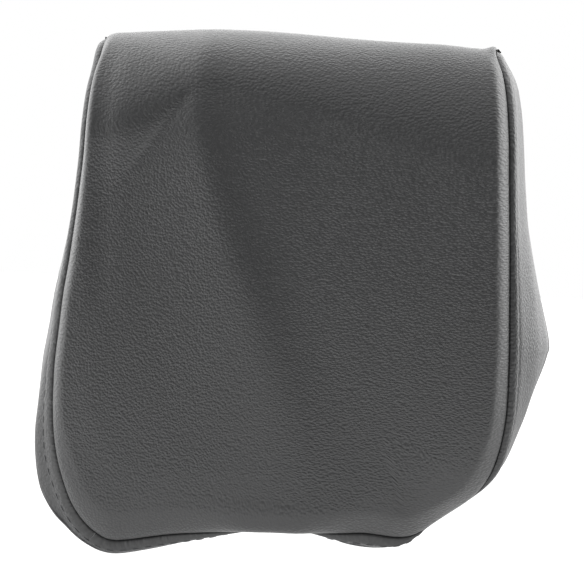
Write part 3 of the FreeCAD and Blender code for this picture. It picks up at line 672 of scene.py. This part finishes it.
def line_across(piece, half, count, s):
    """Points of a back panel's surface along a straight line across it, with the way out of it."""
    mesh = piece.data
    corners = [Vector(v.co) for v in mesh.vertices]
    tree = BVHTree.FromPolygons(corners, [tuple(f.vertices) for f in mesh.polygons])
    x = np.linspace(-half, half, count)
    low, high = place(x, s, 0) * MM, place(x, s, 1) * MM
    path, normal = [], []
    for a, b in zip(low, high):
        way = Vector(b - a).normalized()
        hit = tree.ray_cast(Vector(a) + way * RAY_START, -way, RAY_LENGTH)
        if hit[0] is not None:
            path.append(np.array(hit[0]) / MM)
            normal.append(np.array(hit[1] if hit[1].dot(way) > 0 else -hit[1]))
    return np.array(path), np.array(normal)


whole = np.concatenate(gussets)
stitch_column = closest(NEAR_SEAM, STITCH_LINE)
zip_stitch = 4.5
stitches("topstitch_front", *column_path(whole, stitch_column))
stitches("topstitch_rear", *column_path(whole, whole.shape[1] - 1 - stitch_column))
stitches("topstitch_back_seam", *line_across(back_upper, 88, 300, BACK_SEAM + 5.0))
stitches("topstitch_zip_upper", *line_across(back_upper, 66, 240, ZIP_S - ZIP_HALF_OPENING - zip_stitch))
stitches("topstitch_zip_lower", *line_across(back_lower, 66, 240, ZIP_S + ZIP_HALF_OPENING + zip_stitch))

# ---------------------------------------------------------------- camera
AZIMUTH = math.radians(8.0)
ELEVATION = math.radians(1.5)
LEAN = math.radians(2.5)
AIM = Vector((0.0045, -0.140, 0.015))
DISTANCE = 0.705
level = math.cos(ELEVATION)
back = Vector((math.sin(AZIMUTH) * level, -math.cos(AZIMUTH) * level, math.sin(ELEVATION)))
lens = bpy.data.cameras.new("camera")
lens.lens = 100
lens.sensor_width = 36
lens.clip_start = 0.05
lens.clip_end = 100
camera = bpy.data.objects.new("camera", lens)
bpy.context.scene.collection.objects.link(camera)
camera.rotation_mode = "QUATERNION"
camera.rotation_quaternion = (-back).to_track_quat("-Z", "Y") @ Matrix.Rotation(LEAN, 3, "Z").to_quaternion()
camera.location = AIM + back * DISTANCE
bpy.context.scene.camera = camera


# ---------------------------------------------------------------- materials
class Nodes:
    """A new material, with short ways to add and join its nodes."""

    def __init__(self, name):
        self.material = bpy.data.materials.new(name)
        self.material.use_nodes = True
        self.tree = self.material.node_tree
        self.shader = self.tree.nodes["Principled BSDF"]

    def add(self, kind, **values):
        node = self.tree.nodes.new(kind)
        for key, value in values.items():
            if key in node.inputs:
                node.inputs[key].default_value = value
            else:
                setattr(node, key, value)
        return node

    def link(self, a, b):
        self.tree.links.new(a, b)

    def constant(self, **values):
        """Constants on the shader's sockets, whose names have spaces for the underscores."""
        for key, value in values.items():
            self.shader.inputs[key.replace("_", " ")].default_value = value

    def pattern(self, where, kind, **values):
        """A texture over these coordinates."""
        node = self.add(kind, **values)
        self.link(where, node.inputs["Vector"])
        return node

    def noise(self, where, scale, detail, **values):
        return self.pattern(where, "ShaderNodeTexNoise", Scale=scale, Detail=detail, **values).outputs["Fac"]

    def math(self, operation, *terms):
        node = self.add("ShaderNodeMath", operation=operation)
        for socket, value in zip(node.inputs, terms):
            if isinstance(value, (int, float)):
                socket.default_value = value
            else:
                self.link(value, socket)
        return node.outputs[0]

    def blend(self, a, share_a, b, share_b):
        """Two values added, each times its share."""
        return self.math("ADD", self.math("MULTIPLY", a, share_a), self.math("MULTIPLY", b, share_b))

    def ramp(self, value, stops):
        node = self.add("ShaderNodeValToRGB")
        ramp = node.color_ramp
        while len(ramp.elements) < len(stops):
            ramp.elements.new(0.5)
        for element, (at, colour) in zip(ramp.elements, stops):
            element.position = at
            element.color = (*colour, 1) if isinstance(colour, tuple) else (colour, colour, colour, 1)
        self.link(value, node.inputs[0])
        return node.outputs[0]

    def graded(self, socket, value, stops):
        """The shader's socket follows a value by way of a ramp."""
        self.link(self.ramp(value, stops), self.shader.inputs[socket])

    def bump(self, height, strength, distance):
        node = self.add("ShaderNodeBump", Strength=strength, Distance=distance)
        self.link(height, node.inputs["Height"])
        self.link(node.outputs[0], self.shader.inputs["Normal"])


PEBBLES = 980.0
GRAIN = 0.95
GRAIN_DEPTH = 0.0003
# how far the noise shifts the pebbles out of their even pattern
WARP = 0.0013


def leather():
    """Dark grey leather with a rounded pebble grain, drawn out crosswise on the right and over the roll."""
    n = Nodes("leather")
    uv = n.add("ShaderNodeUVMap", uv_map="flat").outputs[0]
    warp = n.pattern(uv, "ShaderNodeTexNoise", Scale=160.0, Detail=2.0)
    shift = n.add("ShaderNodeVectorMath", operation="SCALE", Scale=WARP)
    n.link(warp.outputs["Color"], shift.inputs[0])
    moved = n.add("ShaderNodeVectorMath", operation="ADD")
    n.link(uv, moved.inputs[0])
    n.link(shift.outputs[0], moved.inputs[1])

    def pebbles(stretch):
        turned = n.pattern(moved.outputs[0], "ShaderNodeMapping", Scale=stretch).outputs[0]
        cells = n.pattern(turned, "ShaderNodeTexVoronoi", feature="SMOOTH_F1", Scale=PEBBLES, Smoothness=0.35)
        return n.math("SUBTRACT", 1.0, cells.outputs["Distance"])

    flat = n.add("ShaderNodeSeparateXYZ")
    n.link(uv, flat.inputs[0])
    # the drawn-out grain comes in from 33 mm left to 20 mm right of the middle, and from s 170 to 205 mm
    to_right = n.ramp(n.math("MULTIPLY_ADD", flat.outputs["X"], 6.0, 0.5), [(0.3, 0.0), (0.62, 1.0)])
    over_roll = n.ramp(n.math("MULTIPLY", flat.outputs["Y"], 2.0), [(0.34, 0.0), (0.41, 1.0)])
    mix = n.add("ShaderNodeMix", data_type="FLOAT")
    n.link(n.math("MAXIMUM", to_right, over_roll), mix.inputs["Factor"])
    n.link(pebbles((1.0, 0.95, 1)), mix.inputs[2])
    n.link(pebbles((0.72, 1.2, 1)), mix.inputs[3])
    grain = mix.outputs[0]
    fine = n.noise(uv, 1700.0, 3.0)
    n.bump(n.math("ADD", grain, n.math("MULTIPLY", fine, 0.25)), GRAIN, GRAIN_DEPTH)
    tone = n.blend(grain, 0.5, n.noise(uv, 14.0, 3.0), 0.6)
    n.graded("Base Color", tone, [(0.25, (0.0105, 0.0108, 0.0114)), (0.95, (0.021, 0.0216, 0.0226))])
    n.graded("Roughness", tone, [(0.2, 0.46), (0.95, 0.38)])
    n.constant(Specular_IOR_Level=0.75, Sheen_Weight=0.06, Sheen_Roughness=0.4)
    return n.material


def thread():
    """Twisted thread, a little lighter than the leather."""
    n = Nodes("thread")
    coord = n.add("ShaderNodeTexCoord").outputs["Object"]
    twist = n.noise(coord, 2600.0, 2.0)
    n.bump(twist, 0.5, 0.00008)
    n.graded("Base Color", twist, [(0.3, (0.016, 0.0165, 0.0175)), (0.7, (0.03, 0.031, 0.033))])
    n.constant(Roughness=0.48, Specular_IOR_Level=0.8, Sheen_Weight=0.15)
    return n.material


def metal(name, dark, light, rough, grain, stretch=(1, 1, 1), bump=0.00002, metallic=1.0, wear=None):
    """Bare or plated metal, or paint: broad tone, fine grain along its working direction, worn marks."""
    n = Nodes(name)
    coord = n.add("ShaderNodeTexCoord").outputs["Object"]
    turned = n.pattern(coord, "ShaderNodeMapping", Scale=stretch).outputs[0]
    fine = n.noise(turned, grain, 4.0)
    tone = n.blend(fine, 0.45, n.noise(coord, 38.0, 3.0), 0.55)
    colour = n.ramp(tone, [(0.32, dark), (0.68, light)])
    if wear:
        mark = n.noise(coord, 150.0, 5.0, Roughness=0.7)
        mix = n.add("ShaderNodeMix", data_type="RGBA")
        n.link(n.ramp(mark, [(0.66, 0.0), (0.72, 1.0)]), mix.inputs["Factor"])
        n.link(colour, mix.inputs[6])
        mix.inputs[7].default_value = (*wear, 1)
        colour = mix.outputs[2]
    n.link(colour, n.shader.inputs["Base Color"])
    n.graded("Roughness", tone, [(0.3, rough + 0.08), (0.7, max(0.05, rough - 0.06))])
    n.constant(Metallic=metallic)
    n.bump(fine, 0.5, bump)
    return n.material


def plastic(name, dark, light, rough, grain, bump, cells=False):
    """Moulded plastic: an even tone with slight clouding, and a spark-eroded or pebbled skin."""
    n = Nodes(name)
    coord = n.add("ShaderNodeTexCoord").outputs["Object"]
    if cells:
        skin = n.pattern(coord, "ShaderNodeTexVoronoi", feature="F1", Scale=grain)
        height = skin.outputs["Distance"]
    else:
        height = n.noise(coord, grain, 3.0)
    tone = n.blend(height, 0.4, n.noise(coord, 60.0, 3.0), 0.6)
    n.graded("Base Color", tone, [(0.3, dark), (0.7, light)])
    n.graded("Roughness", tone, [(0.3, rough + 0.06), (0.7, rough - 0.05)])
    n.bump(height, 0.6, bump)
    return n.material


def woven_tape():
    """Zip tape: a fine diagonal weave of dark polyester."""
    n = Nodes("woven_tape")
    coord = n.add("ShaderNodeTexCoord").outputs["Object"]
    wave = "ShaderNodeTexWave"
    rib = n.pattern(coord, wave, Scale=230.0, Distortion=0.6, bands_direction="DIAGONAL")
    cross = n.pattern(coord, wave, Scale=420.0, Distortion=0.4, bands_direction="X")
    height = n.math("MULTIPLY", rib.outputs["Fac"], cross.outputs["Fac"])
    n.bump(height, 0.7, 0.0001)
    n.graded("Base Color", height, [(0.0, (0.012, 0.012, 0.013)), (1.0, (0.04, 0.041, 0.044))])
    n.graded("Roughness", height, [(0.0, 0.9), (1.0, 0.72)])
    n.constant(Sheen_Weight=0.25)
    return n.material


# dark tone, light tone, roughness, the grain's scale, the bump's depth, and whether the skin is pebbled
PLASTICS = {
    "shell_plastic": ((0.02, 0.02, 0.021), (0.035, 0.035, 0.036), 0.55, 1400.0, 0.00005),
    "foam": ((0.68, 0.62, 0.44), (0.86, 0.81, 0.63), 0.92, 900.0, 0.0004, True),
    "washer_plastic": ((0.2, 0.12, 0.06), (0.36, 0.24, 0.14), 0.7, 1800.0, 0.00006),
    "liner_plastic": ((0.74, 0.74, 0.71), (0.84, 0.84, 0.82), 0.42, 1500.0, 0.00002),
    "knob_plastic": ((0.012, 0.012, 0.013), (0.028, 0.028, 0.03), 0.5, 1300.0, 0.00012, True),
    "cap_plastic": ((0.018, 0.018, 0.019), (0.028, 0.028, 0.03), 0.22, 300.0, 0.000006),
}
# dark tone, light tone, roughness, the grain's scale, the grain's stretch, the bump's depth, how metallic
# it is, and the tone of worn marks
METALS = {
    "zinc_steel": ((0.34, 0.35, 0.36), (0.52, 0.53, 0.54), 0.32, 900.0),
    "spring_steel": ((0.1, 0.11, 0.14), (0.22, 0.23, 0.27), 0.36, 1100.0),
    "zip_metal": ((0.13, 0.13, 0.135), (0.3, 0.3, 0.31), 0.3, 1300.0),
    "cast_aluminium": ((0.27, 0.275, 0.28), (0.4, 0.41, 0.42), 0.5, 1500.0, (1, 1, 1), 0.00009),
    "rail_aluminium": ((0.36, 0.365, 0.37), (0.5, 0.505, 0.51), 0.32, 1500.0, (1, 1, 0.03)),
    "brass": ((0.6, 0.42, 0.18), (0.8, 0.62, 0.32), 0.28, 1200.0, (1, 0.08, 1)),
    "plate_paint": ((0.022, 0.022, 0.024), (0.036, 0.036, 0.039), 0.44, 1100.0, (1, 1, 1), 0.00006,
                    0.0, (0.09, 0.09, 0.095)),
}
FINISHES = {"leather": leather(), "thread": thread(), "zip_tape": woven_tape()}
for name, look in PLASTICS.items():
    FINISHES[name] = plastic(name, *look)
for name, look in METALS.items():
    FINISHES[name] = metal(name, *look)
for subpart in frame["record"]["subparts"]:
    slots = nodes[subpart["node"]].data.materials
    slots.clear()
    slots.append(FINISHES[subpart["material_slot"]])
for piece in bpy.context.scene.objects:
    if piece.name.startswith("leather_"):
        piece.data.materials.append(FINISHES["leather"])
    if piece.name.startswith("topstitch_"):
        piece.data.materials.append(FINISHES["thread"])

# ---------------------------------------------------------------- studio
# Each of the three gives a level for a value from -1 to 1: by how far a direction points at the dim room
# in front, what share of that is left by how far it points up, and what comes from below and overhead.
ROOM_WAY = (0.32, -0.947, 0.0)
ROOM = [(-1.0, 2.2), (-0.3, 3.1), (0.1, 1.7), (0.3, 0.85), (0.6, 0.22), (0.8, 0.06), (0.93, 0.01), (1.0, 0.0)]
ROOM_SHARE = [(-1.0, 1.0), (0.2, 1.0), (0.8, 0.7), (1.0, 0.65)]
OVERHEAD = [(-1.0, 1.8), (-0.6, 1.6), (-0.3, 1.0), (-0.1, 0.2), (0.03, 0.01), (0.25, 0.22), (0.5, 0.85),
            (0.8, 1.0), (1.0, 0.5)]
world = bpy.data.worlds.new("studio")
bpy.context.scene.world = world
world.use_nodes = True


def studio_light():
    """Bright behind, at the sides, below and overhead, and dim in front. The camera itself sees white."""
    t = world.node_tree
    t.nodes.clear()

    def new(kind, **values):
        node = t.nodes.new(kind)
        for key, value in values.items():
            setattr(node, key, value)
        return node

    def graded(value, stops):
        """The level for a value from -1 to 1."""
        node = new("ShaderNodeValToRGB")
        node.color_ramp.interpolation = "EASE"
        while len(node.color_ramp.elements) < len(stops):
            node.color_ramp.elements.new(0.5)
        for element, (at, bright) in zip(node.color_ramp.elements, stops):
            element.position = (at + 1) / 2
            element.color = (bright, bright, bright, 1)
        scaled = new("ShaderNodeMath", operation="MULTIPLY_ADD")
        scaled.inputs[1].default_value = scaled.inputs[2].default_value = 0.5
        t.links.new(value, scaled.inputs[0])
        t.links.new(scaled.outputs[0], node.inputs[0])
        return node.outputs[0]

    way = new("ShaderNodeTexCoord").outputs["Generated"]
    split = new("ShaderNodeSeparateXYZ")
    t.links.new(way, split.inputs[0])
    room = new("ShaderNodeVectorMath", operation="DOT_PRODUCT")
    room.inputs[1].default_value = Vector(ROOM_WAY).normalized()
    t.links.new(way, room.inputs[0])
    around = new("ShaderNodeMath", operation="MULTIPLY")
    t.links.new(graded(room.outputs["Value"], ROOM), around.inputs[0])
    t.links.new(graded(split.outputs["Z"], ROOM_SHARE), around.inputs[1])
    total = new("ShaderNodeMath", operation="ADD")
    t.links.new(around.outputs[0], total.inputs[0])
    t.links.new(graded(split.outputs["Z"], OVERHEAD), total.inputs[1])
    white = new("ShaderNodeBackground")
    light = new("ShaderNodeBackground")
    t.links.new(total.outputs[0], light.inputs["Strength"])
    white.inputs["Color"].default_value = light.inputs["Color"].default_value = (1, 1, 1, 1)
    mix = new("ShaderNodeMixShader")
    t.links.new(new("ShaderNodeLightPath").outputs["Is Camera Ray"], mix.inputs[0])
    t.links.new(light.outputs[0], mix.inputs[1])
    t.links.new(white.outputs[0], mix.inputs[2])
    t.links.new(mix.outputs[0], new("ShaderNodeOutputWorld").inputs["Surface"])


studio_light()

FLOOR_Z = -0.26
FLOOR_FRONT = -0.3
FLOOR_FAR = 12
floor_corners = [(-FLOOR_FAR, FLOOR_FRONT, FLOOR_Z), (FLOOR_FAR, FLOOR_FRONT, FLOOR_Z),
                 (FLOOR_FAR, FLOOR_FAR, FLOOR_Z), (-FLOOR_FAR, FLOOR_FAR, FLOOR_Z)]
floor_mesh = bpy.data.meshes.new("floor")
floor_mesh.from_pydata(floor_corners, [], [(0, 1, 2, 3)])
floor = bpy.data.objects.new("floor", floor_mesh)
bpy.context.scene.collection.objects.link(floor)
pale = Nodes("pale_floor")
pale.constant(Base_Color=(0.5, 0.5, 0.5, 1), Roughness=1.0)
pale.constant(Emission_Color=(1, 1, 1, 1), Emission_Strength=0.3)
floor_mesh.materials.append(pale.material)

bpy.context.scene.view_settings.view_transform = "Standard"
bpy.context.scene.view_settings.look = "None"
